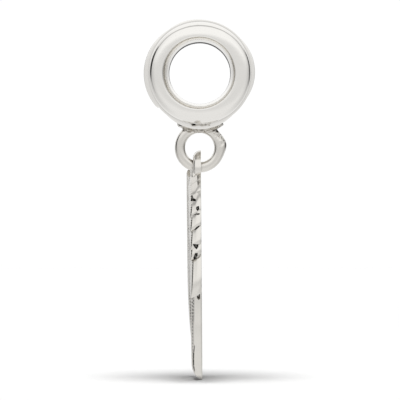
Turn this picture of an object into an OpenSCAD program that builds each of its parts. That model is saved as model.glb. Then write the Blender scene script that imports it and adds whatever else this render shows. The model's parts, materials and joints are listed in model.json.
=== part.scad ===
// Dangle charm for a bead bracelet: a large-hole carrier bead with a soldered loop,
// and a cast wing of layered feathers that hangs in the loop by its own eyelet.
// The bore runs along Y, Z is up, and the origin is the middle of the bore. Millimetres.

/* [Carrier bead] */
// Diameter of the bore that the bracelet runs through
bore_d = 4.5; // [3.8:0.1:4.8]
// Length of the bead along its bore
bead_l = 6.4; // [5.4:0.1:9]
// Diameter of the two end rims
rim_d = 7.6; // [7.2:0.1:9]
// Width of each end rim along the bore
rim_w = 1.3; // [0.9:0.1:1.8]
// Radius of the lip that rolls from the end face into the bore
lip_round = 0.32; // [0.15:0.01:0.4]
// Radius of the outer edge of each rim
rim_round = 0.27; // [0.15:0.01:0.4]
// Rise of the domed end face between bore and rim
face_rise = 0.12; // [0.05:0.01:0.25]

/* [Belt] */
// Diameter of the belt between the rims, in the dips between its lobes
belt_d = 7.78; // [7.3:0.02:9.2]
// Width of the groove between each rim and the belt
groove_w = 0.18; // [0.1:0.01:0.4]
// Depth of that groove below the rim
groove_depth = 0.3; // [0.1:0.05:0.6]
// Rise of the highest lobe above the dips
lobe_rise = 0.23; // [0.1:0.01:0.4]
// Radius that each lobe is curved to
lobe_curve_r = 3.3; // [2.9:0.05:3.5]
// How far the lobes stand in from the sides of the belt
lobe_inset = 0.14; // [0.06:0.01:0.4]
// Radius of the belt's soft shoulders
belt_round = 0.2; // [0.1:0.01:0.3]

/* [Hanging loop] */
// Thickness of the loop's wire between its hole and its outer edge
wire_t = 0.76; // [0.6:0.02:0.8]
// Depth of the loop's wire along the bore
wire_depth = 0.8; // [0.6:0.02:0.84]
// Radius of the wire's rounded corners
wire_round = 0.27; // [0.15:0.01:0.29]
// Diameter of the loop's hole
loop_hole_d = 2.14; // [1.9:0.02:2.8]
// How deep the loop's outer edge is sunk in the belt
loop_sink = 0.28; // [0.15:0.01:0.4]
// Width of the solder saddle at the bead
saddle_top_w = 3.24; // [2.6:0.02:3.6]
// Width of the solder saddle at the loop
saddle_foot_w = 2.66; // [2:0.02:2.8]
// Depth of the solder saddle along the bore
saddle_depth = 1.5; // [1:0.1:2.4]

/* [Wing drop] */
// Length of the wing from the middle of its eyelet to its tip
wing_l = 15.46; // [12:0.02:22]
// Width of the wing from its leading edge to its widest feather tip
wing_w = 7.3; // [6:0.1:9]
// Thickness of the plate at the feathers' free edges
plate_t = 0.72; // [0.6:0.01:1.2]
// Height of the upper row of small feathers above the plate
covert_rise = 0.14; // [0.08:0.01:0.3]
// Height of the leading edge's arm above the plate
arm_rise = 0.28; // [0.15:0.01:0.5]
// Angle that lifts each feather's lower side over the next feather
shingle = 5; // [2:0.5:8]
// Feathers in each row along the arm
covert_count = 6; // [4:1:8]
// Length of the bevel that thins the wing towards its tip
tip_bevel = 1.0; // [0.6:0.1:2]

/* [Eyelet] */
// Diameter of the eyelet's hole where it is narrowest, round the wire
eye_hole_d = 1.08; // [0.98:0.01:1.2]
// Width of the eyelet's band around its hole
eye_band = 0.81; // [0.6:0.01:1]
// Thickness of the eyelet, front to back
eye_t = 0.58; // [0.5:0.01:0.8]
// Play between the eyelet and the wire that it hangs on
hang_gap = 0.06; // [0.05:0.01:0.12]
// How far the wing's flat back lies behind the middle of the loop
back_set = 0.08; // [0.02:0.01:0.3]
// Angle at which the wing leans as it hangs
lean = 0.4; // [0:0.1:2]

/* [Hidden] */
$fn = 96;

bore_r = bore_d / 2;
rim_r = rim_d / 2;
belt_r = belt_d / 2;
belt_w = bead_l - 2 * (rim_w + groove_w);
face_half = (rim_r - bore_r) / 2;
face_curve_r = (pow(face_half, 2) + pow(face_rise, 2)) / (2 * face_rise);

loop_hole_r = loop_hole_d / 2;
loop_r = loop_hole_r + wire_t / 2;
loop_z = -(belt_r - loop_sink + loop_r + wire_t / 2);
saddle_foot_z = loop_z + sqrt(pow(loop_r + wire_t / 2, 2) - pow(saddle_foot_w / 2, 2));

eye_hole_r = eye_hole_d / 2;
eye_r = eye_hole_r + eye_band;
// The eyelet's middle, below the middle of the loop
eye_drop = loop_r + eye_hole_r - wire_t / 2 - hang_gap;

// A lobe of the belt: its angle from +X towards +Z, and its rise as a share of lobe_rise
LOBE_ANGLE = 0;
LOBE_SHARE = 1;
LOBES = [
    [6, 0.85],
    [104, 0.7],
    [185, 1],
    [270, 0.95],
];

// A feather is a blade along a curved quill. Its root, the point that its quill bows towards and
// its tip are given across the wing, as shares of wing_w towards the trailing edge, and down the
// wing, as shares of wing_l from the eyelet's middle. The last column is half the blade's width
// as a share of wing_w.
ROOT_ACROSS = 0;
ROOT_DOWN = 1;
BOW_ACROSS = 2;
BOW_DOWN = 3;
TIP_ACROSS = 4;
TIP_DOWN = 5;
HALF_WIDTH = 6;
FEATHERS = [
    [-0.26, 0.16, -0.55, 0.48, 0.085, 1, 0.15],
    [-0.19, 0.15, -0.19, 0.54, 0.08, 0.935, 0.14],
    [-0.11, 0.14, 0.21, 0.48, 0.1, 0.85, 0.145],
    [-0.25, 0.2, 0.27, 0.325, 0.545, 0.59, 0.17],
    [-0.23, 0.155, 0.24, 0.25, 0.535, 0.412, 0.115],
    [-0.23, 0.13, 0.25, 0.19, 0.53, 0.366, 0.115],
    [-0.18, 0.085, 0.22, 0.12, 0.495, 0.279, 0.095],
    [-0.14, 0.05, 0.19, 0.07, 0.445, 0.215, 0.085],
    [-0.1, 0.035, 0.16, 0.042, 0.36, 0.156, 0.07],
    [-0.06, 0.03, 0.13, 0.022, 0.28, 0.112, 0.06],
];

// The arm: the raised, tapering leading edge, with the same columns
ARM = [-0.13, 0.023, -0.6, 0.17, -0.325, 0.78, 0.095];

// A row of small feathers that grow out of the arm: the shares of the arm's length where it
// starts and ends, the headings of its first and last feather below the horizontal, their
// lengths and half widths as shares of wing_w, and the row's rise as a share of covert_rise
ROW_START = 0;
ROW_END = 1;
FIRST_HEADING = 2;
LAST_HEADING = 3;
FIRST_LENGTH = 4;
LAST_LENGTH = 5;
ROW_HALF_WIDTH = 6;
ROW_RISE = 7;
COVERT_ROWS = [
    [0.08, 0.56, 40, 78, 0.5, 0.54, 0.1, 0.5],
    [0.1, 0.62, 42, 84, 0.27, 0.36, 0.085, 1],
];

// Where along its quill a blade is widest, and its width at the root as a share of the widest
FULL_AT = 0.5;
ROOT_SHARE = 0.45;
OUTLINE_STEPS = 10;

function mix(a, b, t) = a + (b - a) * t;

// A point along a quill, by its share of the quill's length
function quill(root, bow, tip, t) = mix(mix(root, bow, t), mix(bow, tip, t), t);

// The quill's direction there
function heading(root, bow, tip, t) =
    let (d = mix(bow - root, tip - bow, t)) d / norm(d);

// The blade's half width there, as a share of the widest: it swells from the root and then
// closes to a rounded tip
function blade(t) = t < FULL_AT
    ? mix(ROOT_SHARE, 1, sin(90 * t / FULL_AT))
    : sqrt(max(0, 1 - pow((t - FULL_AT) / (1 - FULL_AT), 2.4)));

// The blade's outline, up one side and down the other, with its points closer towards the tip
function outline(root, bow, tip, half_w) =
    let (
        shares = [for (i = [0:OUTLINE_STEPS]) sin(90 * i / OUTLINE_STEPS)],
        side = function (t, s)
            let (h = heading(root, bow, tip, t))
            quill(root, bow, tip, t) + s * half_w * blade(t) * [-h.y, h.x]
    )
    concat(
        [for (t = shares) side(t, 1)],
        [for (i = [OUTLINE_STEPS - 1:-1:0]) side(shares[i], -1)]
    );

function wing_point(across, down) = [across * wing_w, -down * wing_l];

// Turns a flat drawing, across and up, to face the front of the wing, with its thickness forward
module facing_front() {
    rotate([90, 0, -90]) children();
}

// A blade of the given height over the flat back, tilted about its quill
module feather(root, bow, tip, half_w, height, tilt) {
    along = (tip - root) / norm(tip - root);
    middle = quill(root, bow, tip, FULL_AT);
    translate([middle.x, middle.y, height])
        rotate(a = -tilt, v = [along.x, along.y, 0])
            translate([-middle.x, -middle.y, -2 * plate_t])
                linear_extrude(2 * plate_t)
                    polygon(outline(root, bow, tip, half_w));
}

module feather_from(row, height, tilt) {
    feather(
        wing_point(row[ROOT_ACROSS], row[ROOT_DOWN]),
        wing_point(row[BOW_ACROSS], row[BOW_DOWN]),
        wing_point(row[TIP_ACROSS], row[TIP_DOWN]),
        row[HALF_WIDTH] * wing_w,
        height,
        tilt
    );
}

module covert_row(row) {
    arm_root = wing_point(ARM[ROOT_ACROSS], ARM[ROOT_DOWN]);
    arm_bow = wing_point(ARM[BOW_ACROSS], ARM[BOW_DOWN]);
    arm_tip = wing_point(ARM[TIP_ACROSS], ARM[TIP_DOWN]);
    for (i = [0:covert_count - 1]) {
        share = i / (covert_count - 1);
        root = quill(arm_root, arm_bow, arm_tip, mix(row[ROW_START], row[ROW_END], share));
        angle = -mix(row[FIRST_HEADING], row[LAST_HEADING], share);
        length = wing_w * mix(row[FIRST_LENGTH], row[LAST_LENGTH], share);
        tip = root + length * [cos(angle), sin(angle)];
        feather(root, (root + tip) / 2, tip, row[ROW_HALF_WIDTH] * wing_w,
            plate_t + row[ROW_RISE] * covert_rise, shingle);
    }
}

// The eyelet's ring round its hole, flat at the back and rounded at the front
module eyelet_ring() {
    rotate_extrude()
        intersection() {
            square([eye_r, eye_t]);
            translate([eye_r - eye_t, 0]) union() {
                circle(eye_t);
                translate([-eye_r, 0]) square([eye_r, eye_t]);
            }
        }
}

// How far the loop's wire has curved up at a distance to the side of its lowest point
function wire_lift(distance) = loop_hole_r - sqrt(pow(loop_hole_r, 2) - pow(distance, 2));

// The eyelet's hole, narrowest at the wire's lowest point and wider towards both faces, by as much
// as the wire has curved up where it leaves them
module eyelet_hole() {
    back_r = eye_hole_r + wire_lift(back_set);
    front_r = eye_hole_r + wire_lift(eye_t - back_set);
    rotate_extrude()
        polygon([
            [0, -plate_t],
            [back_r, -plate_t],
            [back_r, 0],
            [eye_hole_r, back_set],
            [front_r, eye_t],
            [front_r, 3 * plate_t],
            [0, 3 * plate_t],
        ]);
}

module wing_body() {
    difference() {
        union() {
            for (row = FEATHERS) feather_from(row, plate_t, shingle);
            for (row = COVERT_ROWS) covert_row(row);
            feather_from(ARM, plate_t + arm_rise, shingle);
            eyelet_ring();
        }
        translate([-2 * wing_w, -2 * wing_l, -3 * plate_t])
            cube([4 * wing_w, 4 * wing_l, 3 * plate_t]);
        eyelet_hole();
        translate([0, -wing_l, plate_t / 4])
            rotate([atan(plate_t / tip_bevel), 0, 0])
                translate([-wing_w, -wing_l, 0])
                    cube([2 * wing_w, wing_l + 2 * tip_bevel, 2 * plate_t]);
    }
}

// A band of the bead's section from the axis out to r, between two heights, with a rounded
// outer edge at both ends
module rounded_band(r, from, to, round) {
    translate([0, from]) square([r - round, to - from]);
    translate([0, from + round]) square([r, to - from - 2 * round]);
    for (height = [from + round, to - round])
        translate([r - round, height]) circle(round);
}

// The section of the end rim, domed on its face
module rim_section() {
    intersection() {
        rounded_band(rim_r, bead_l / 2 - rim_w, bead_l / 2, rim_round);
        union() {
            translate([bore_r + face_half, bead_l / 2 - face_curve_r]) circle(face_curve_r);
            square([bore_r + face_half, bead_l / 2]);
        }
    }
}

// The bead's turned body: the rims, the grooved core between them and the belt
module turned_body() {
    rotate_extrude() {
        translate([0, -bead_l / 2 + rim_w / 2]) square([rim_r - groove_depth, bead_l - rim_w]);
        rim_section();
        mirror([0, 1]) rim_section();
        rounded_band(belt_r, -belt_w / 2, belt_w / 2, belt_round);
    }
}

// The raised lobes round the belt, each a disc set off the axis and facing inwards
module lobes() {
    for (lobe = LOBES)
        rotate([0, 0, lobe[LOBE_ANGLE] + 180])
            translate([lobe_curve_r - belt_r - lobe[LOBE_SHARE] * lobe_rise, 0, 0])
                cylinder(r = lobe_curve_r, h = belt_w - 2 * lobe_inset, center = true);
}

// The bore, flared at both ends by the rolled lips
module bore_cut() {
    rotate_extrude() {
        translate([0, -bead_l]) square([bore_r, 2 * bead_l]);
        for (end = [0, 1])
            mirror([0, end]) difference() {
                translate([0, bead_l / 2 - lip_round]) square([bore_r + lip_round, 2 * lip_round]);
                translate([bore_r + lip_round, bead_l / 2 - lip_round]) circle(lip_round);
            }
    }
}

// The loop's wire turned into a ring, with its axis along the bore
module loop_ring() {
    translate([0, loop_z, 0])
        rotate_extrude()
            translate([loop_r, 0]) {
                square([wire_t - 2 * wire_round, wire_depth], center = true);
                square([wire_t, wire_depth - 2 * wire_round], center = true);
                for (i = [-1, 1], j = [-1, 1])
                    translate([i * (wire_t / 2 - wire_round), j * (wire_depth / 2 - wire_round)])
                        circle(wire_round);
            }
}

module solder_saddle() {
    translate([0, 0, -saddle_depth / 2])
        linear_extrude(saddle_depth)
            polygon([
                [-saddle_top_w / 2, -rim_r * 0.9],
                [saddle_top_w / 2, -rim_r * 0.9],
                [saddle_foot_w / 2, saddle_foot_z],
                [-saddle_foot_w / 2, saddle_foot_z],
            ]);
}

module carrier_bead() {
    color("silver")
        rotate([90, 0, 0])
            difference() {
                union() {
                    turned_body();
                    lobes();
                    loop_ring();
                    solder_saddle();
                }
                bore_cut();
            }
}

module wing_drop() {
    color("lightgray")
        translate([0, 0, loop_z])
            rotate([0, -lean, 0])
                translate([back_set, 0, -eye_drop])
                    facing_front() wing_body();
}

carrier_bead();
wing_drop();
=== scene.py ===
"""A silver dangle charm for a bead bracelet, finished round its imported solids.

The bead's bore runs along Y, the camera looks along +Y, +X is to the right and +Z is up.
Sizes are millimetres until a mesh is made, and Blender's metres from then on.
"""

import json

import bpy
import numpy as np
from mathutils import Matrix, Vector


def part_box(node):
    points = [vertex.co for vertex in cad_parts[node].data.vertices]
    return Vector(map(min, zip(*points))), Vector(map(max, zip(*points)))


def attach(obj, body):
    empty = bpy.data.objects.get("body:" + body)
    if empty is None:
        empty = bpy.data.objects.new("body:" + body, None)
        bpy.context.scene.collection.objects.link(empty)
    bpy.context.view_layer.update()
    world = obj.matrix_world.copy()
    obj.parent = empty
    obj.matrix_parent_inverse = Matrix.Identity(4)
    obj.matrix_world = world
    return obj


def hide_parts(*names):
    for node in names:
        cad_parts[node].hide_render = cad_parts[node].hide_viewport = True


MM = 0.001
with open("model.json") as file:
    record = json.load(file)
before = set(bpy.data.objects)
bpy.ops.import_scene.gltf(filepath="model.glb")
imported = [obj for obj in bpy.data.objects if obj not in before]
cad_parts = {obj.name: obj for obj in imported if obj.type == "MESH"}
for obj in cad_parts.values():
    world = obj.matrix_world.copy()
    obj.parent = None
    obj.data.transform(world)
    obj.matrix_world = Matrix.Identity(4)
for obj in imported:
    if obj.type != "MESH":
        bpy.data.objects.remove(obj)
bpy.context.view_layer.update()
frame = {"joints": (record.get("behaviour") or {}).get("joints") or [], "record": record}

# Carrier bead
# A large-hole bead turned from sterling silver: two rolled end rims, and between them a raised
# belt of four soft lobes. The bracelet runs through its bore, and it was polished on a wheel.

CREST_R = 2.68  # where the end face stands highest
CREST_SHIFT = 0.08  # how far that lies nearer to the bore at the right, and further at the left
FACE_STEPS = 36
FLARE_DEPTH = 1.3  # from the crest into the bore
FLARE_SQUARENESS = 1.55
ROLL_DEPTH = 0.83  # from the crest to the rim's side
ROLL_SQUARENESS = 2.1
SIDE_SQUARENESS = 2.6  # how much squarer the roll is at the right
RIM_R = 3.72
RIM_W = 1.3
RIM_BACK_R = 0.13
GROOVE_W = 0.18
GROOVE_FLOOR_R = 3.5
GROOVE_BEVEL = 0.2  # of its width, on both sides of its floor
BELT_R = 3.89
BELT_ROUND = 0.05
LOBE_RISE = 0.23
LOBE_FADE = 0.02  # from the belt's side to a lobe's full height
LOBE_STOP = 2  # degrees in which a lobe ends
SLACK = 0.001  # room for rounding where a point is held against a size
# Angle from +X to +Z, share of the rise, radius of the lobe's curve and where it stops, in degrees
# past its middle
LOBES = ((6, 0.65, 3.3, 60), (104, 0.2, 3.3, 60), (185, 0.85, 3.7, 35), (270, 0.9, 3.3, 60))
TURN_STEPS = 320

mounts = {mount["name"]: mount for mount in frame["record"]["mounts"]}
bore_r = mounts["bracelet_bore"]["dims"]["r_mm"]
bead_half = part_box("carrier_bead")[1].y / MM
rim_back = bead_half - RIM_W
belt_side = rim_back - GROOVE_W


def arc(centre, radius, start, end, count):
    """Points (r, y) on a circle: centre + radius * (cos a, sin a), from start to end degrees."""
    angle = np.radians(np.linspace(start, end, count))
    return np.stack([centre[0] + radius * np.cos(angle), centre[1] + radius * np.sin(angle)], 1)


def straight(start, end, count):
    """Evenly spaced points from start to end, both left out."""
    share = np.linspace(0, 1, count + 2)[1:-1, None]
    return np.asarray(start) * (1 - share) + np.asarray(end) * share


def quarter(centre, across, deep, squareness, start, end, count):
    """Points (r, y) on a superellipse: centre + (across * |cos a|^(2/n), deep * |sin a|^(2/n))."""
    angle = np.radians(np.linspace(start, end, count))
    cos, sin = np.clip(np.cos(angle), 0, 1), np.clip(np.sin(angle), 0, 1)
    power = 2 / squareness
    return np.stack([centre[0] + across * cos**power, centre[1] + deep * sin**power], 1)


def half_profile(crest_r, roll_squareness):
    """The bead's section (r, y) from the middle of the bore, over the end face, to the belt: flare
    and rolled rim are superellipse quarters that meet at the crest."""
    flare_foot = bead_half - FLARE_DEPTH
    roll_foot = bead_half - ROLL_DEPTH
    flare_in = bore_r - crest_r
    roll_out = RIM_R - crest_r
    bevel = GROOVE_W * GROOVE_BEVEL
    return np.concatenate([
        straight((bore_r, 0), (bore_r, flare_foot), 8),
        quarter(
            (crest_r, flare_foot), flare_in, FLARE_DEPTH, FLARE_SQUARENESS, 0, 90, FACE_STEPS
        )[:-1],
        quarter((crest_r, roll_foot), roll_out, ROLL_DEPTH, roll_squareness, 90, 0, FACE_STEPS),
        straight((RIM_R, roll_foot), (RIM_R, rim_back + RIM_BACK_R), 3),
        arc((RIM_R - RIM_BACK_R, rim_back + RIM_BACK_R), RIM_BACK_R, 0, -90, 7),
        straight((RIM_R - RIM_BACK_R, rim_back), (GROOVE_FLOOR_R, rim_back), 2),
        [(GROOVE_FLOOR_R, rim_back - bevel), (GROOVE_FLOOR_R, belt_side + bevel)],
        straight((GROOVE_FLOOR_R, belt_side), (BELT_R - BELT_ROUND, belt_side), 4),
        arc((BELT_R - BELT_ROUND, belt_side - BELT_ROUND), BELT_ROUND, 90, 0, 9),
        straight((BELT_R, belt_side - BELT_ROUND), (BELT_R, 0), 12),
    ])


def lobe_height(angle):
    """How far the belt stands over BELT_R at an angle: the highest of four discs, each set off
    the axis so that its outermost point is BELT_R + its rise, and ended over LOBE_STOP degrees."""
    height = np.zeros_like(angle)
    for middle, share, curve_r, stop in LOBES:
        off = BELT_R + share * LOBE_RISE - curve_r
        turn = (angle - np.radians(middle) + np.pi) % (2 * np.pi) - np.pi
        reach = off * np.cos(turn) + np.sqrt(curve_r**2 - (off * np.sin(turn)) ** 2)
        kept = np.clip((np.radians(stop) - turn) / np.radians(LOBE_STOP), 0, 1)
        height = np.maximum(height, (reach - BELT_R) * kept)
    return height


def bead_surface():
    """(angle, profile, 3) points: the closed profile turned about Y, its belt raised by
    lobe_height(angle).

    The face was polished by hand. Its crest is at CREST_R - CREST_SHIFT * cos(angle), and the
    roll gets squarer by SIDE_SQUARENESS * cos(angle)^2 (3 + cos(angle)) / 4, most at the right.
    """
    angle = np.linspace(0, 2 * np.pi, TURN_STEPS, endpoint=False)[:, None]
    side = np.cos(angle)[:, 0]
    crest = CREST_R - CREST_SHIFT * side
    squareness = ROLL_SQUARENESS + SIDE_SQUARENESS * side**2 * (3 + side) / 4
    half = np.stack([half_profile(*sizes) for sizes in zip(crest, squareness)])
    belt_middle = np.broadcast_to((BELT_R, 0), (TURN_STEPS, 1, 2))
    bore_middle = np.broadcast_to((bore_r, 0), (TURN_STEPS, 1, 2))
    profile = np.concatenate([half, belt_middle, (half * (1, -1))[:, ::-1], bore_middle], 1)
    radius, along = profile[..., 0], profile[..., 1]
    inward = np.clip((belt_side + SLACK - np.abs(along)) / LOBE_FADE, 0, 1)
    share = np.where(radius > BELT_R - BELT_ROUND - SLACK, inward**2 * (3 - 2 * inward), 0)
    radius = radius + lobe_height(angle) * share
    return np.stack([radius * np.cos(angle), along, radius * np.sin(angle)], 2)


def volume_sign(points, faces):
    """The sign of the volume that triangles or quads enclose, positive when they face out:
    the sum over the faces of corner 0 . (corner 1 x corner 2), and of the quad's other half."""
    a, b, c, d = (points[faces[:, i]] for i in range(4))
    return np.sign((a * (np.cross(b, c) + np.cross(c, d))).sum())


def surface_object(name, points, capped=False):
    """A closed mesh object from an array (rows, columns, 3) in mm. Columns always wrap round.

    Rows wrap round as well, or with capped they end in a fan to the mean of the end row. Each
    quad joins (i, j), (i, j + 1), (i + 1, j + 1) and (i + 1, j), turned to face outwards.
    """
    rows, columns = points.shape[:2]
    first = np.arange(rows if not capped else rows - 1)[:, None]
    column = np.arange(columns)[None, :]
    after, beside = (first + 1) % rows, (column + 1) % columns
    quads = np.stack(np.broadcast_arrays(
        first * columns + column, first * columns + beside,
        after * columns + beside, after * columns + column,
    ), 2).reshape(-1, 4)
    flat = points.reshape(-1, 3)
    if capped:
        flat = np.concatenate([flat, [points[0].mean(0), points[-1].mean(0)]])
        near, far = np.arange(columns), (rows - 1) * columns + np.arange(columns)
        start, end = np.full(columns, rows * columns), np.full(columns, rows * columns + 1)
        fans = [
            np.stack([start, np.roll(near, -1), near, start], 1),
            np.stack([end, far, np.roll(far, -1), end], 1),
        ]
        quads = np.concatenate([quads, *fans])
    if volume_sign(flat, quads) < 0:
        quads = quads[:, ::-1]
    # A fan's quad names its point twice, which leaves a triangle
    faces = [tuple(dict.fromkeys(face)) for face in quads.tolist()]
    mesh = bpy.data.meshes.new(name)
    mesh.from_pydata((flat * MM).tolist(), [], faces)
    mesh.shade_smooth()
    made = bpy.data.objects.new(name, mesh)
    bpy.context.scene.collection.objects.link(made)
    return made


def linear(hex_colour):
    """An sRGB hex colour such as "#E0DEDA" as linear RGBA."""
    shade = np.array([int(hex_colour[i : i + 2], 16) for i in (1, 3, 5)]) / 255
    shade = np.where(shade <= 0.04045, shade / 12.92, ((shade + 0.055) / 1.055) ** 2.4)
    return (*shade.tolist(), 1.0)


def add_node(owner, kind, inputs=None, **settings):
    """Adds a shader node with its settings to a material or to the world. inputs maps a socket to
    a value or to the socket that feeds it."""
    tree = owner.node_tree
    made = tree.nodes.new("ShaderNode" + kind)
    for name, value in settings.items():
        setattr(made, name, value)
    for socket, value in (inputs or {}).items():
        if isinstance(value, bpy.types.NodeSocket):
            tree.links.new(value, made.inputs[socket])
        else:
            made.inputs[socket].default_value = value
    return made


WAVER_W = 0.9  # width of the soft unevenness that the buffing wheel leaves
WAVER_DEPTH = 0.012
# Real wheel marks are microns apart and are drawn as coarse as they need to show
MARK_W = 0.05
MARK_L = 0.6
MARK_DEPTH = 0.0006


def polished_silver(name, colour, oxide_and_shade, roughness, hollow_mm, oxide_and_shade_share):
    """Sterling silver polished on a buffing wheel: a bright, faintly warm mirror whose
    reflections waver a little, with hairline wheel marks. Its hollows hold grey oxide and
    painted shade: the colour darkens wherever ambient occlusion finds nearby surfaces.

    Returns the material, its shader and the relief that a later one is added to.
    """
    material = bpy.data.materials.new(name)
    material.use_nodes = True
    material.node_tree.nodes.clear()
    place = add_node(material, "TexCoord").outputs["Object"]
    waver = add_node(
        material, "TexNoise", {"Vector": place, "Scale": 1 / (WAVER_W * MM), "Detail": 2.0}
    )
    across_marks, along_marks = 1 / (MARK_W * MM), 1 / (MARK_L * MM)
    stretched = add_node(
        material, "Mapping",
        {"Vector": place, "Scale": (across_marks, along_marks, across_marks)},
    )
    marks = add_node(
        material, "TexNoise", {"Vector": stretched.outputs[0], "Scale": 1.0, "Detail": 3.0}
    )
    gloss = add_node(
        material, "MapRange",
        {"Value": waver.outputs["Fac"], "From Min": 0.3, "From Max": 0.7,
         "To Min": roughness * 0.7, "To Max": roughness * 1.4},
    )
    # Painted shade together with the oxide: where ambient occlusion finds surfaces within
    # hollow_mm, the base colour is mixed towards the dark colour, up to the given share, so
    # grooves, hollows and gaps between parts come out darker where shade falls
    occlusion = add_node(material, "AmbientOcclusion", {"Distance": hollow_mm * MM}, samples=8)
    depth = add_node(
        material, "MapRange",
        {"Value": occlusion.outputs["AO"], "From Min": 0.15, "From Max": 0.75,
         "To Min": oxide_and_shade_share, "To Max": 0.0},
    )
    # Inputs 6 and 7 of a Mix node are its two colours, and output 2 is what they give
    mix = add_node(
        material, "Mix", {"Factor": depth.outputs[0], 6: linear(colour), 7: linear(oxide_and_shade)},
        data_type="RGBA",
    )
    relief = add_node(
        material, "Bump",
        {"Height": waver.outputs["Fac"], "Distance": WAVER_DEPTH * MM, "Strength": 1.0},
    )
    scratches = add_node(
        material, "Bump",
        {"Height": marks.outputs["Fac"], "Distance": MARK_DEPTH * MM, "Strength": 1.0,
         "Normal": relief.outputs[0]},
    )
    shader = add_node(
        material, "BsdfPrincipled",
        {"Base Color": mix.outputs[2], "Metallic": 1.0, "Roughness": gloss.outputs[0],
         "Normal": scratches.outputs[0]},
    )
    add_node(material, "OutputMaterial", {"Surface": shader.outputs[0]})
    return material, shader, scratches


# The wheel reached all of the turned bead, so it is the lightest and glossiest of the silvers,
# and its oxide and painted shade are grey only down in its grooves
bead_silver, _, _ = polished_silver(
    "bead_polished_silver", "#EFEDE9", "#3B3833", 0.1, hollow_mm=0.35, oxide_and_shade_share=0.75
)

bead = surface_object("turned_bead", bead_surface())
bead.data.materials.append(bead_silver)
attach(bead, "carrier")
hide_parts("carrier_bead")

# Hanging loop
# A ring of rounded square sterling wire, closed by soldering and held under the belt with its hole
# facing the way the bore does. It is fuller at the right, and pitted above, where solder ran down.

LOOP_R = 1.45  # to the middle of the wire
LOOP_STEPS = (240, 56)  # round the ring and round the wire
WIRE_T = 0.76
WIRE_DEPTH = 0.8
WIRE_SQUARENESS = 2.6
WIRE_WAVER_W = 1.6  # width of the soft unevenness of a wire bent by hand
WIRE_WAVER_DEPTH = 0.012
# Angle from +X to +Z and spread, in radians, of the fuller part and of the pits
FULLER_AT, FULLER_SPREAD = 0.12, 0.3
FULLER_BY = 0.15
PITS_AT, PITS_SPREAD = 0.75, 0.42
PIT_W = 0.36
PIT_DEPTH = 0.32
PIT_REACH = 0.2  # how far the pits reach inwards past the wire's middle, as a share of half of it

# The wing's joint is in the middle of the loop
loop_z = frame["joints"][0]["pos_m"][2] / MM


def ripple(points, size, seed, waves=10, peak=1.4):
    """A smooth uneven field between about -1 and 1: the mean of plane sine waves in random
    directions, each 0.7 to 1.5 times size mm long, times the square root of how many there are,
    over the peak that this seldom passes."""
    random = np.random.default_rng(seed)
    direction = random.normal(size=(waves, 3))
    direction /= np.linalg.norm(direction, axis=1, keepdims=True)
    pace = 2 * np.pi / (size * random.uniform(0.7, 1.5, waves))
    phase = random.uniform(0, 2 * np.pi, waves)
    return np.sin(points @ (direction * pace[:, None]).T + phase).mean(-1) * np.sqrt(waves) / peak


def rounded_square(turn, squareness):
    """Unit superellipse (sign(cos) |cos|^(2/n), sign(sin) |sin|^(2/n))."""
    power = 2 / squareness
    cos, sin = np.cos(turn), np.sin(turn)
    return np.sign(cos) * np.abs(cos) ** power, np.sign(sin) * np.abs(sin) ** power


def bell(turn, middle, spread):
    """A bell curve round an angle, exp(-((turn - middle) / spread)^2)."""
    return np.exp(-(((turn - middle) / spread) ** 2))


def loop_surface():
    """(turn, section, 3) points of a ring about Y with a rounded square section. Its outward half
    is fuller by FULLER_BY times a bell of the angle. The outer part of its front is pitted by
    PIT_DEPTH times a second bell and the size of a ripple."""
    turn = np.linspace(-np.pi, np.pi, LOOP_STEPS[0], endpoint=False)[:, None]
    section = np.linspace(0, 2 * np.pi, LOOP_STEPS[1], endpoint=False)
    across, deep = rounded_square(section, WIRE_SQUARENESS)
    fuller = FULLER_BY * bell(turn, FULLER_AT, FULLER_SPREAD) * np.clip(across, 0, 1)
    radius = LOOP_R + across * WIRE_T / 2 + fuller
    points = np.stack([
        radius * np.cos(turn), np.broadcast_to(deep * WIRE_DEPTH / 2, radius.shape),
        loop_z + radius * np.sin(turn),
    ], 2)
    pitted = bell(turn, PITS_AT, PITS_SPREAD) * np.clip(across + PIT_REACH, 0, 1)
    pitted = pitted * np.clip(-deep, 0, 1)
    points += WIRE_WAVER_DEPTH * ripple(points, WIRE_WAVER_W, seed=5)[..., None]
    points[..., 1] += PIT_DEPTH * pitted * np.abs(ripple(points, PIT_W, seed=8))
    return points


# The wheel reached less of the loop, so it is a little greyer and softer than the bead
loop_silver, _, _ = polished_silver(
    "loop_polished_silver", "#E0DDD7", "#322F2B", 0.12, hollow_mm=0.35, oxide_and_shade_share=0.85
)

hanging_loop = surface_object("hanging_loop", loop_surface())
hanging_loop.data.materials.append(loop_silver)
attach(hanging_loop, "carrier")
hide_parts("carrier_bead")

# Solder saddle
# The silver solder that joins the loop to the bead. It drew up into a small flared saddle between
# the two and was left lumpy, because a wheel can't reach into the corner.

SADDLE_TOP = -3.5
SADDLE_FOOT = -4.35
SADDLE_WIDTHS = (1.56, 1.62, 1.6, 1.34, 1.15, 1.05)  # half widths from the bead to the loop
SADDLE_DEPTHS = (1.86, 1.86, 1.8, 1.3, 0.6, 0.4)
SADDLE_SQUARENESS = 2.8
SADDLE_STEPS = (44, 160)  # down and round
LUMP_W = 0.42
LUMP_DEPTH = 0.12


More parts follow.
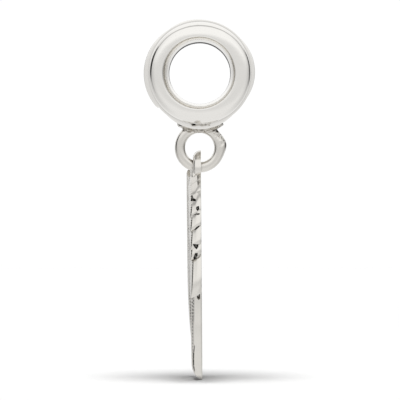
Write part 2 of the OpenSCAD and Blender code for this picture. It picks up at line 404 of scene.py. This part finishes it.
def saddle_surface():
    """(height, turn, 3) points: rounded rectangles whose half widths and depths run through the
    named ones, moved outwards by LUMP_DEPTH times a ripple."""
    share = np.linspace(0, 1, SADDLE_STEPS[0])[:, None]
    steps = np.linspace(0, 1, len(SADDLE_WIDTHS))
    wide = np.interp(share, steps, SADDLE_WIDTHS)
    deep = np.interp(share, steps, SADDLE_DEPTHS)
    turn = np.linspace(0, 2 * np.pi, SADDLE_STEPS[1], endpoint=False)
    side, front = rounded_square(turn, SADDLE_SQUARENESS)
    height = np.broadcast_to(SADDLE_TOP + (SADDLE_FOOT - SADDLE_TOP) * share, SADDLE_STEPS)
    points = np.stack([wide * side, deep * front, height], 2)
    outward = np.stack([side, front, 0 * side], 1)
    return points + LUMP_DEPTH * ripple(points, LUMP_W, seed=11)[..., None] * outward


# Solder is greyer than sterling, and oxide and painted shade darken nearly all of its hollows
solder_silver, _, _ = polished_silver(
    "solder_silver", "#CCC8C1", "#2E2B27", 0.14, hollow_mm=0.5, oxide_and_shade_share=0.95
)

solder_saddle = surface_object("solder_saddle", saddle_surface(), capped=True)
solder_saddle.data.materials.append(solder_silver)
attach(solder_saddle, "carrier")
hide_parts("carrier_bead")

# Wing drop
# A wing of layered feathers, cast in sterling silver in one piece with its eyelet and polished.
# Its back is flat. It hangs by the eyelet in the bead's loop, with its feather tips to the front.

WING_L = 15.46
WING_W = 7.3
PLATE_T = 0.72
BACK_SET = 0.08  # from the loop's middle to the flat back
LEAN = 0.4  # degrees that the wing's tip hangs to the right
TIP_BEVEL = 1.15
TIP_BLUNT = 1.02  # where the bevel would come to nothing, as a share of its length
SHARP_FROM = 28  # degrees between faces that meet in a sharp edge
BACK_FACING = 0.995  # least X of the normal of a face of the lapped back

# The eyelet, and the cut that opens the neck's metal for it
EYE_DROP = 1.55  # from the loop's middle down to the eyelet's
EYE_R = 1.35
EYE_T = 0.58
EYE_HOLE_R = 0.54
EYE_FLARE = 0.07
EYE_EDGE = 0.12
EYE_STEPS = 120
HOLE_CUT = 0.8  # share of EYE_EDGE by which the cut is wider than the hole
HOLE_REACH = (-1.0, 2.0)  # from behind the back to before the front
HOLE_STEPS = 96

# A feather's blade, from its root to its tip and from its front to the flat back
ROOT_SHARE = 0.45  # share of its greatest width at its root
FULL_AT = 0.5  # share of its length where it is widest
FEATHER_STEPS = 45
EDGE_ROUND = 0.15
SIDE_BELLY = 0.045
BACK_EDGE_ROUND = 0.07
BACK_EDGE_SHARE = 0.14  # share of a side's height that this rounding takes
MOST_SET_IN = 0.9  # share of half the blade's width that it may take near a tip
QUILL_W = 0.07
QUILL_RISE = 0.045
QUILL_LOSS = 0.8  # share of that rise which is gone at the tip
BARB_PITCH = 0.24
BARB_SLANT = 1.3
BARB_RISE = 0.007
BARB_EDGE = 0.1  # from the outline to where the barbs have their full rise

# Root, bow and tip of each quill as (across, down), then half the blade's width. Across is a
# share of WING_W towards the feather tips, down a share of WING_L from the eyelet's middle.
FLIGHT_FEATHERS = (
    ((-0.26, 0.16), (-0.55, 0.48), (0.085, 1.0), 0.15),
    ((-0.19, 0.15), (-0.19, 0.54), (0.08, 0.935), 0.14),
    ((-0.11, 0.14), (0.21, 0.48), (0.1, 0.85), 0.145),
    ((-0.25, 0.2), (0.27, 0.325), (0.545, 0.59), 0.17),
    ((-0.23, 0.155), (0.24, 0.25), (0.535, 0.412), 0.115),
    ((-0.23, 0.13), (0.25, 0.19), (0.53, 0.366), 0.115),
    ((-0.18, 0.085), (0.22, 0.12), (0.495, 0.279), 0.095),
    ((-0.14, 0.05), (0.19, 0.07), (0.445, 0.215), 0.085),
    ((-0.1, 0.035), (0.16, 0.042), (0.36, 0.156), 0.07),
    ((-0.06, 0.03), (0.13, 0.022), (0.28, 0.112), 0.06),
    ((0.17, 0.5), (0.235, 0.8), (0.07, 1.0), 0.055),
    ((0.1, 0.0), (0.14, 0.07), (0.19, 0.175), 0.07),
)
# The arm, written as a feather. It goes down into the plate over the last third of its length.
ARM = ((-0.13, 0.023), (-0.6, 0.17), (-0.3, 0.86), 0.095)
ARM_RISE = 0.28
ARM_SINK = ARM_RISE + 0.1
SINK_FROM, SINK_OVER = 0.68, 0.32
COVERTS_PER_ROW = 6
COVERT_RISE = 0.14
# Start and end along the arm, first and last heading below the horizontal, first and last length
# and the half width as shares of WING_W, and the row's rise as a share of COVERT_RISE
COVERT_ROWS = (
    (0.08, 0.56, 40, 78, 0.5, 0.54, 0.1, 0.5),
    (0.1, 0.62, 42, 84, 0.27, 0.36, 0.085, 1.0),
)
# How a feather lies: its tilt in degrees, its slant down the wing per mm of height and its crown.
# One whose tip passes TO_EDGE of WING_W shows on the wing's edge and stands higher by EDGE_LIFT.
TO_EDGE = 0.2
EDGE_LIFT = 0.09
EDGE_LAY = (6, 0.6, 0.06)
INNER_LAY = (5, 0.1, 0.06)
COVERT_LAY = (7, 0.2, 0.05)
ARM_LAY = (5, 0.0, 0.04)
# Clefts between the feather tips at the edge: their depth, and their corners (x, z) in order
CLEFTS = (
    (0.35, ((-0.68, -8.69), (-0.52, -8.87), (-0.45, -9.09),
            (-0.27, -9.20), (-0.28, -9.33), (-0.67, -9.33))),
    (0.3, ((-0.27, -9.71), (-0.05, -9.63), (-0.02, -9.92), (-0.17, -10.03), (-0.27, -9.89))),
    (0.15, ((-0.54, -10.27), (-0.20, -10.19), (0.01, -10.18),
            (-0.01, -10.28), (-0.17, -10.32), (-0.53, -10.32))),
    (0.4, ((-0.39, -11.36), (-0.25, -11.18), (-0.01, -11.05),
           (-0.03, -11.17), (-0.21, -11.34), (-0.37, -11.41))),
    (0.55, ((-0.52, -12.40), (-0.08, -12.42), (-0.10, -12.63), (-0.23, -12.79), (-0.38, -12.65))),
    (0.55, ((-0.33, -13.05), (-0.14, -13.05), (-0.15, -13.24), (-0.25, -13.45),
            (-0.36, -13.63), (-0.46, -13.56), (-0.46, -13.37))),
    (0.25, ((-0.23, -15.79), (0.02, -15.82), (0.04, -16.50), (-0.08, -16.57), (-0.21, -16.43))),
    (0.15, ((-0.12, -7.13), (-0.01, -7.11), (0.01, -7.24), (-0.10, -7.28))),
    (0.25, ((-0.39, -19.90), (-0.35, -19.90), (-0.40, -20.45), (-0.48, -20.45))),
    (0.25, ((-0.48, -20.44), (-0.40, -20.44), (-0.41, -20.95), (-0.50, -20.95))),
    (0.25, ((-0.50, -20.94), (-0.41, -20.94), (-0.40, -21.46), (-0.49, -21.46))),
    (0.25, ((-0.49, -21.45), (-0.40, -21.45), (-0.34, -21.90), (-0.38, -21.90))),
)
CLEFT_LEAD = 0.4  # how far before the surface a cleft's cut starts
CLEFT_FLOOR = 0.3  # size of its floor as a share of its mouth
CLEFT_SPLIT = 4  # parts that each of its sides is divided in
IN_FRONT = -20  # y of a place well in front of the charm


def quill(root, bow, tip, share):
    """The curve (1 - t)^2 root + 2 t (1 - t) bow + t^2 tip."""
    share = np.asarray(share, float)[..., None]
    return (1 - share) ** 2 * root + 2 * share * (1 - share) * bow + share**2 * tip


def blade(share):
    """Half width as a share of the widest: a quarter sine up to FULL_AT, then the flattened
    ellipse sqrt(1 - x^2.4) to the rounded tip."""
    swell = ROOT_SHARE + (1 - ROOT_SHARE) * np.sin(np.pi / 2 * np.minimum(share / FULL_AT, 1))
    past = np.clip((share - FULL_AT) / (1 - FULL_AT), 0, 1)
    return np.where(share < FULL_AT, swell, np.sqrt(np.clip(1 - past**2.4, 0, 1)))


def hang(flat):
    """Turns (across, up, forward) of the flat wing into the frame: X = BACK_SET - forward,
    Y = -across, Z = up below the loop, and then a turn of LEAN about the loop's middle."""
    x, y = BACK_SET - flat[..., 2], -flat[..., 0]
    z = flat[..., 1] - EYE_DROP
    lean = np.radians(-LEAN)
    return np.stack([
        x * np.cos(lean) + z * np.sin(lean), y, loop_z + z * np.cos(lean) - x * np.sin(lean),
    ], -1)


def across_shares():
    """Places across a blade from -1 to 1: sine-spaced towards the edges, close at the quill."""
    edge = -np.cos(np.linspace(0, np.pi / 2, 15))[:-2]
    middle = np.array([-0.1, -0.065, -0.04, -0.02])
    half = np.concatenate([edge, middle])
    return np.concatenate([half, [0.0], -half[::-1]])


def feather_surface(root, bow, tip, half_width, level, lay, sink=0.0):
    """(along, round the section, 3) points of one closed feather in the flat wing, and the same
    grid's (mm along the quill, mm across, barb share).

    Front: level - across * tan(tilt) + crown * (1 - s^2) + a quill ridge, less the edge's
    rounding R - sqrt(R^2 - (R - d)^2) at d from the outline. The last third goes down by sink
    along a quarter ellipse. Sides drop to the flat back with a slight belly, and all of it leans
    down the wing by slant per mm of height.
    """
    tilt, slant, crown = lay
    share = np.sin(np.linspace(0, np.pi / 2, FEATHER_STEPS, endpoint=False))
    middle = quill(root, bow, tip, share)
    heading = np.gradient(middle, share, axis=0)
    length = np.concatenate([[0], np.cumsum(np.linalg.norm(np.diff(middle, axis=0), axis=1))])
    heading /= np.linalg.norm(heading, axis=1, keepdims=True)
    left = np.stack([-heading[:, 1], heading[:, 0]], 1)
    wide = half_width * blade(share)
    steep = np.sqrt(1 + np.gradient(wide, length) ** 2)

    s = across_shares()[None, :]
    inside = wide[:, None] * (1 - np.abs(s)) / steep[:, None]
    gap = np.clip(EDGE_ROUND - inside, 0, EDGE_ROUND)
    rounding = EDGE_ROUND - np.sqrt(EDGE_ROUND**2 - gap**2)
    across = s * wide[:, None]
    ridge = QUILL_RISE * np.exp(-((across / QUILL_W) ** 2)) * (1 - QUILL_LOSS * share[:, None])
    fullness = (wide / half_width)[:, None]
    past = np.clip((share[:, None] - SINK_FROM) / SINK_OVER, 0, 1)
    top = level - sink * (1 - np.sqrt(1 - past**2)) - across * np.tan(np.radians(tilt))
    top = top + crown * (1 - s**2) * fullness + ridge - rounding
    front = np.concatenate([
        middle[:, None] + across[..., None] * left[:, None], top[..., None]
    ], 2)

    # Places down a side, as shares of its height
    drop = np.array([0.9, 0.7, 0.5, 0.3, 0.14, 0.08, 0.03, 0.0])
    belly = SIDE_BELLY * np.sin(np.pi * drop) ** 2
    turned_in = np.clip(1 - drop / BACK_EDGE_SHARE, 0, 1)
    set_in = BACK_EDGE_ROUND * (1 - np.sqrt(1 - turned_in**2))
    set_in = np.minimum(set_in, wide[:, None] * MOST_SET_IN)
    outline_side = []
    for sign in (1, -1):
        edge = middle + sign * wide[:, None] * left
        run = np.gradient(edge, length, axis=0)
        run /= np.linalg.norm(run, axis=1, keepdims=True)
        out = sign * np.stack([-run[:, 1], run[:, 0]], 1)
        edge_top = top[:, -1 if sign > 0 else 0]
        place = edge[:, None] + (belly - set_in)[..., None] * out[:, None]
        outline_side.append(np.concatenate([place, (edge_top[:, None] * drop)[..., None]], 2))
    points = np.concatenate([front, outline_side[0], outline_side[1][:, ::-1]], 1)
    points[..., 1] -= slant * (points[..., 2] - level / 2)

    no_barbs = np.zeros((len(share), points.shape[1] - s.size))
    flat_across = np.concatenate([across, no_barbs], 1)
    barbs = np.concatenate([np.clip(inside / BARB_EDGE, 0, 1), no_barbs], 1)
    chart = np.stack([np.broadcast_to(length[:, None], flat_across.shape), flat_across, barbs], 2)
    return points, chart


def wing_feathers():
    """Every feather of the wing as the arguments of feather_surface: the long ones, the two rows
    of coverts, each from the arm's root out, and the arm."""
    scale = np.array([WING_W, -WING_L])
    for root, bow, tip, half_width in FLIGHT_FEATHERS:
        shows = tip[0] > TO_EDGE
        yield (
            np.array(root) * scale, np.array(bow) * scale, np.array(tip) * scale,
            half_width * WING_W, PLATE_T + (EDGE_LIFT if shows else 0),
            EDGE_LAY if shows else INNER_LAY,
        )
    *arm, arm_half_width = ARM
    arm_root, arm_bow, arm_tip = (np.array(point) * scale for point in arm)
    for start, end, head_a, head_b, long_a, long_b, half_width, rise in COVERT_ROWS:
        level = PLATE_T + rise * COVERT_RISE
        for share in np.linspace(0, 1, COVERTS_PER_ROW):
            root = quill(arm_root, arm_bow, arm_tip, start + (end - start) * share)
            heading = -np.radians(head_a + (head_b - head_a) * share)
            reach = WING_W * (long_a + (long_b - long_a) * share)
            tip = root + reach * np.array([np.cos(heading), np.sin(heading)])
            yield root, (root + tip) / 2, tip, half_width * WING_W, level, COVERT_LAY
    yield (
        arm_root, arm_bow, arm_tip, arm_half_width * WING_W, PLATE_T + ARM_RISE, ARM_LAY, ARM_SINK,
    )


def thin_to_tip(points):
    """Heights shrink over the last TIP_BEVEL mm as a quarter ellipse, sqrt(1 - x^2)."""
    past = (-points[..., 1] - (WING_L - TIP_BEVEL)) / (TIP_BEVEL * TIP_BLUNT)
    thinned = points.copy()
    thinned[..., 2] *= np.sqrt(1 - np.clip(past, 0, 1) ** 2)
    return thinned


def eyelet_surface():
    """(turn, section, 3) points of the eyelet about its own hole: flat at the back, its front a
    superellipse quarter of EYE_T that gets squarer as 2 + 3 cos(turn)^2 towards the sides, its
    hole wider by EYE_FLARE at the front, where the wire curves up, and worn round by EYE_EDGE."""
    turn = np.linspace(0, 2 * np.pi, EYE_STEPS, endpoint=False)
    front_r = EYE_HOLE_R + EYE_FLARE
    inside = np.concatenate([
        straight((EYE_R - EYE_T, EYE_T), (front_r + EYE_EDGE, EYE_T), 2),
        arc((front_r + EYE_EDGE, EYE_T - EYE_EDGE), EYE_EDGE, 90, 180, 7),
        straight((front_r, EYE_T - EYE_EDGE), (EYE_HOLE_R, EYE_EDGE), 4),
        arc((EYE_HOLE_R + EYE_EDGE, EYE_EDGE), EYE_EDGE, 180, 270, 7),
        straight((EYE_HOLE_R + EYE_EDGE, 0), (EYE_R, 0), 4),
    ])
    section = np.stack([
        np.concatenate([quarter((EYE_R - EYE_T, 0), EYE_T, EYE_T, squareness, 0, 90, 18), inside])
        for squareness in 2 + 3 * np.cos(turn) ** 2
    ])
    radius, turn = section[..., 0], turn[:, None]
    return np.stack([radius * np.cos(turn), radius * np.sin(turn), section[..., 1]], 2)


def hole_surface():
    """Two rings (across, up, forward) of radius EYE_HOLE_R + HOLE_CUT * EYE_EDGE, the ends of the
    cut that opens the neck's metal for the eyelet."""
    turn = np.linspace(0, 2 * np.pi, HOLE_STEPS, endpoint=False)
    ring = (EYE_HOLE_R + HOLE_CUT * EYE_EDGE) * np.stack([np.cos(turn), np.sin(turn)], 1)
    return np.stack([
        np.concatenate([ring, np.full((HOLE_STEPS, 1), height)], 1) for height in HOLE_REACH
    ])


def cleft_surface(corners, depth, y):
    """(rings, round, 3) points of a cut that narrows inwards from the corners (x, z): rings at
    y - CLEFT_LEAD, y and y + depth, the last at CLEFT_FLOOR of the size."""
    corner = np.array(corners)[:, None]
    step = np.linspace(0, 1, CLEFT_SPLIT, endpoint=False)[None, :, None]
    outline = (corner * (1 - step) + np.roll(corner, -1, 0) * step).reshape(-1, 2)
    middle = outline.mean(0)
    ring = [middle + (outline - middle) * size for size in (1.0, 1.0, CLEFT_FLOOR)]
    level = [np.full((len(outline), 1), place) for place in (y - CLEFT_LEAD, y, y + depth)]
    return np.stack([
        np.concatenate([flat[:, :1], place, flat[:, 1:]], 1) for flat, place in zip(ring, level)
    ])


def merge(target, other, operation):
    """Joins or cuts target with other in its mesh, and removes other."""
    change = target.modifiers.new(other.name, "BOOLEAN")
    change.operation, change.solver, change.object = operation, "MANIFOLD", other
    shown = target.evaluated_get(bpy.context.evaluated_depsgraph_get())
    old, target.data = target.data, bpy.data.meshes.new_from_object(shown)
    target.modifiers.clear()
    bpy.data.meshes.remove(old)
    bpy.data.objects.remove(other)


def put_chart(feather, chart):
    """Puts a feather's chart on its mesh: a UV map of mm along and across, and a barb share."""
    whole = np.concatenate([chart.reshape(-1, 3), chart[0].mean(0)[None], chart[-1].mean(0)[None]])
    mesh = feather.data
    corners = np.empty(len(mesh.loops), np.int32)
    mesh.loops.foreach_get("vertex_index", corners)
    mesh.uv_layers.new(name="quill").data.foreach_set("uv", whole[corners, :2].ravel())
    mesh.uv_layers.new(name="barb").data.foreach_set("uv", np.repeat(whole[corners, 2], 2))


wing = None
for number, feather_sizes in enumerate(wing_feathers()):
    points, chart = feather_surface(*feather_sizes)
    placed = surface_object(f"feather_{number}", hang(thin_to_tip(points)), capped=True)
    put_chart(placed, chart)
    if wing is None:
        wing = placed
    else:
        merge(wing, placed, "UNION")

for depth, corners in CLEFTS:
    x, z = np.mean(corners, 0).tolist()
    struck, place, _, _ = wing.ray_cast(Vector((x, IN_FRONT, z)) * MM, Vector((0, 1, 0)))
    if struck:
        cleft = surface_object("cleft", cleft_surface(corners, depth, place.y / MM), capped=True)
        merge(wing, cleft, "DIFFERENCE")

merge(wing, surface_object("hole", hang(hole_surface()), capped=True), "DIFFERENCE")
merge(wing, surface_object("eyelet", hang(eyelet_surface())), "UNION")
wing.name = wing.data.name = "wing"
wing.data.set_sharp_from_angle(angle=np.radians(SHARP_FROM))
# The back was lapped flat, so its faces aren't smoothed into each other
facing = np.empty(len(wing.data.polygons) * 3)
wing.data.polygons.foreach_get("normal", facing)
wing.data.polygons.foreach_set("use_smooth", facing.reshape(-1, 3)[:, 0] < BACK_FACING)

# A cast surface is polished on its crests alone, so the wing is softer than the bead, and oxide
# with painted shade makes it nearly black deep between its feathers
wing_silver, wing_shader, wing_relief = polished_silver(
    "wing_polished_silver", "#E2DFD9", "#2C2A27", 0.13, hollow_mm=0.5, oxide_and_shade_share=0.85
)
# The barbs are lines cut into the model that it was cast from, slanting from each quill: a sine of
# the way along less BARB_SLANT times the way across, once every BARB_PITCH
quill_map = add_node(wing_silver, "UVMap", uv_map="quill").outputs[0]
quill_place = add_node(wing_silver, "SeparateXYZ", {"Vector": quill_map}).outputs
off_quill = add_node(wing_silver, "Math", {0: quill_place["Y"]}, operation="ABSOLUTE").outputs[0]
slanted = add_node(
    wing_silver, "Math", {0: off_quill, 1: -BARB_SLANT, 2: quill_place["X"]},
    operation="MULTIPLY_ADD",
).outputs[0]
turned = add_node(
    wing_silver, "Math", {0: slanted, 1: 2 * np.pi / BARB_PITCH}, operation="MULTIPLY"
).outputs[0]
wave = add_node(wing_silver, "Math", {0: turned}, operation="SINE").outputs[0]
barb_map = add_node(wing_silver, "UVMap", uv_map="barb").outputs[0]
barb_share = add_node(wing_silver, "SeparateXYZ", {"Vector": barb_map}).outputs["X"]
barb_height = add_node(
    wing_silver, "Math", {0: wave, 1: barb_share}, operation="MULTIPLY"
).outputs[0]
barbs = add_node(wing_silver, "Bump", {
    "Height": barb_height, "Distance": BARB_RISE * MM, "Strength": 1.0,
    "Normal": wing_relief.outputs[0],
})
wing_silver.node_tree.links.new(barbs.outputs[0], wing_shader.inputs["Normal"])
wing.data.materials.clear()
wing.data.materials.append(wing_silver)
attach(wing, "drop")
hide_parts("wing_drop")

# Floor, light and camera
# A sheet of white card just under the charm, in a white light tent with a dark gap at each side,
# a soft seam overhead and a dark opening far behind. The camera stands a quarter of a metre in
# front of the wing's top and looks slightly down.

FLOOR_GAP = 0.03
FLOOR_SIZE = 400
CAMERA_AWAY = 250
CAMERA_UP = -4.0
FRAME_W = 29.4  # width of the view at the charm
FRAME_MIDDLE = (0.02, -9.3)  # x and z of its middle
SENSOR_W = 36.0
CLIP = (10, 2000)
LAMP_STRENGTH = 3.45
LAMP_SPREAD = 0.45  # radians
LAMP_TILT = 6  # degrees from overhead towards the camera
# A dim dome lights the card together with the lamp, and the camera sees a plain white backdrop
DOME_STRENGTH = 0.12
BACKDROP_STRENGTH = 1.02
SEAM_AT = -0.2  # y of the direction in which a soft dark seam of the tent runs overhead
# Middle of each dark gap, as a direction from the charm
GAP_LEFT = (-0.97, -0.035, 0.242)
GAP_RIGHT = (0.93, 0.342, 0.131)

floor_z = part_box("wing_drop")[0].z / MM - FLOOR_GAP
half = FLOOR_SIZE / 2
floor_corners = [
    (x * half * MM, y * half * MM, floor_z * MM) for x, y in ((-1, -1), (1, -1), (1, 1), (-1, 1))
]
floor_mesh = bpy.data.meshes.new("floor")
floor_mesh.from_pydata(floor_corners, [], [(0, 1, 2, 3)])
floor = bpy.data.objects.new("floor", floor_mesh)
floor.visible_glossy = False
bpy.context.scene.collection.objects.link(floor)
# White card is matt, so it only takes the charm's soft shadow
card = bpy.data.materials.new("white_card")
card.use_nodes = True
card.node_tree.nodes.clear()
paper = add_node(card, "BsdfDiffuse", {"Color": linear("#EBEBEB")})
add_node(card, "OutputMaterial", {"Surface": paper.outputs[0]})
floor_mesh.materials.append(card)

tent = bpy.data.worlds.new("light_tent")
bpy.context.scene.world = tent
tent.use_nodes = True
tent.node_tree.nodes.clear()
direction = add_node(tent, "TexCoord").outputs["Generated"]
parts = add_node(tent, "SeparateXYZ", {"Vector": direction}).outputs
aside = add_node(tent, "Math", {0: parts["X"]}, operation="ABSOLUTE").outputs[0]
from_seam = add_node(tent, "Math", {0: parts["Y"], 1: -SEAM_AT}, operation="ADD").outputs[0]
from_seam = add_node(tent, "Math", {0: from_seam}, operation="ABSOLUTE").outputs[0]
to_left, to_right = (
    add_node(tent, "VectorMath", {0: direction, 1: gap}, operation="DOT_PRODUCT").outputs["Value"]
    for gap in (GAP_LEFT, GAP_RIGHT)
)
# Smooth steps of brightness: what is measured, from where to where it steps, and the brightness
# at its start and end
steps = {
    "roof": (parts["Z"], 0.0, 0.3, 0.8, 1.07),
    "card": (parts["Z"], -0.35, -0.02, 1.13, 1.0),
    "walls": (aside, 0.3, 1.0, 1.0, 0.74),
    "seam": (from_seam, 0.02, 0.2, 0.5, 1.0),
    "under_seam": (parts["Z"], -0.5, -0.1, 1.0, 0.0),
    "behind": (parts["Y"], 0.975, 0.995, 1.0, 0.12),
    "left_gap": (to_left, 0.905, 0.965, 1.0, 0.05),
    "right_gap": (to_right, 0.905, 0.965, 1.0, 0.05),
}
light = {}
for name, (measure, start, end, at_start, at_end) in steps.items():
    light[name] = add_node(tent, "MapRange", {
        "Value": measure, "From Min": start, "From Max": end, "To Min": at_start, "To Max": at_end,
    }, interpolation_type="SMOOTHSTEP").outputs[0]
# The seam doesn't run on below the charm. What is left is multiplied.
light["seam"] = add_node(
    tent, "Math", {0: light["seam"], 1: light.pop("under_seam")}, operation="MAXIMUM"
).outputs[0]
bright = light.pop("roof")
for step in light.values():
    bright = add_node(tent, "Math", {0: bright, 1: step}, operation="MULTIPLY").outputs[0]
glow, dome, plain = (
    add_node(tent, "Background", {"Color": (1, 1, 1, 1), "Strength": strength}).outputs[0]
    for strength in (bright, DOME_STRENGTH, BACKDROP_STRENGTH)
)
rays = add_node(tent, "LightPath").outputs
lit = add_node(tent, "MixShader", {0: rays["Is Glossy Ray"], 1: dome, 2: glow}).outputs[0]
backdrop = add_node(tent, "MixShader", {0: rays["Is Camera Ray"], 1: lit, 2: plain})
add_node(tent, "OutputWorld", {"Surface": backdrop.outputs[0]})

lamp_data = bpy.data.lights.new("lamp", "SUN")
lamp_data.energy = LAMP_STRENGTH
lamp_data.angle = LAMP_SPREAD
lamp = bpy.data.objects.new("lamp", lamp_data)
lamp.rotation_euler = (np.radians(LAMP_TILT), 0, 0)
lamp.visible_glossy = False
bpy.context.scene.collection.objects.link(lamp)

camera_data = bpy.data.cameras.new("camera")
camera_data.sensor_width = SENSOR_W
camera_data.lens = SENSOR_W * CAMERA_AWAY / FRAME_W
camera_data.clip_start, camera_data.clip_end = (distance * MM for distance in CLIP)
camera = bpy.data.objects.new("camera", camera_data)
camera.location = Vector((FRAME_MIDDLE[0], -CAMERA_AWAY, CAMERA_UP)) * MM
look_down = np.arctan2(CAMERA_UP - FRAME_MIDDLE[1], CAMERA_AWAY)
camera.rotation_euler = (np.pi / 2 - look_down, 0, 0)
bpy.context.scene.collection.objects.link(camera)
bpy.context.scene.camera = camera
bpy.context.scene.view_settings.view_transform = "Standard"
